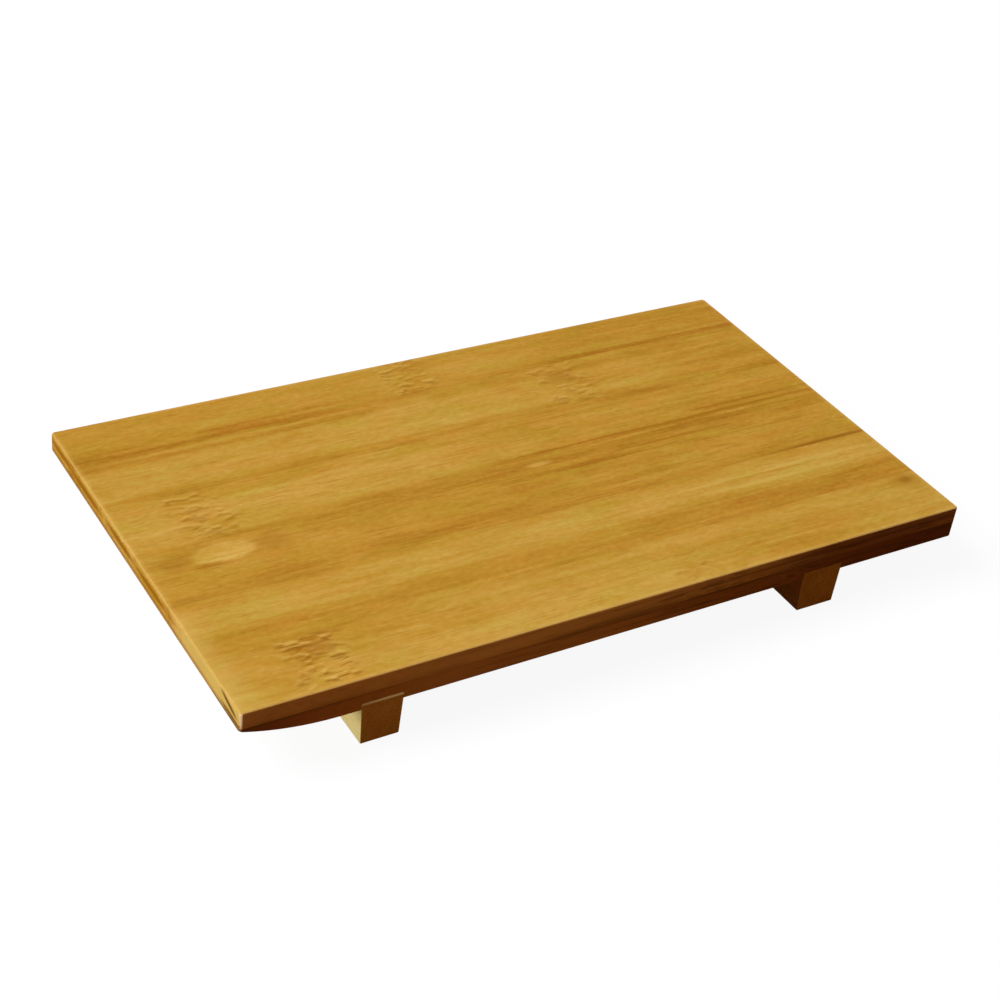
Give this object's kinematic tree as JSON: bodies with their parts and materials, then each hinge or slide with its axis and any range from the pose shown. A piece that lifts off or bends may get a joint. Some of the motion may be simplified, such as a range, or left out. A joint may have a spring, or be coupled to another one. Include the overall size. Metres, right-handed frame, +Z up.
{
  "type": "bamboo serving board",
  "caption": "Low rectangular serving board of edge-glued bamboo strips in layers, on cross feet let into its underside, with one end curved away underneath for lifting.",
  "frame": {"origin": "centre of the board's outline, on the plane that the feet stand on", "axes": "+X along the board towards the square end, +Y across it towards the back, +Z up out of the serving face"},
  "size_m": [0.21, 0.12, 0.02],
  "materials": {
    "bamboo_top": "satin oiled bamboo, fibres along the board",
    "bamboo_bottom": "satin oiled bamboo, fibres along the board",
    "bamboo_foot": "satin oiled bamboo, fibres across the board, dotted end grain at the ends"
  },
  "bodies": {
    "root": {"top_strip_1": "bamboo_top", "top_strip_2": "bamboo_top", "top_strip_3": "bamboo_top", "top_strip_4": "bamboo_top", "top_strip_5": "bamboo_top", "top_strip_6": "bamboo_top", "bottom_strip_1": "bamboo_bottom", "bottom_strip_2": "bamboo_bottom", "bottom_strip_3": "bamboo_bottom", "bottom_strip_4": "bamboo_bottom", "bottom_strip_5": "bamboo_bottom", "bottom_strip_6": "bamboo_bottom", "bottom_strip_7": "bamboo_bottom", "left_foot": "bamboo_foot", "right_foot": "bamboo_foot"}
  },
  "joints": []
}
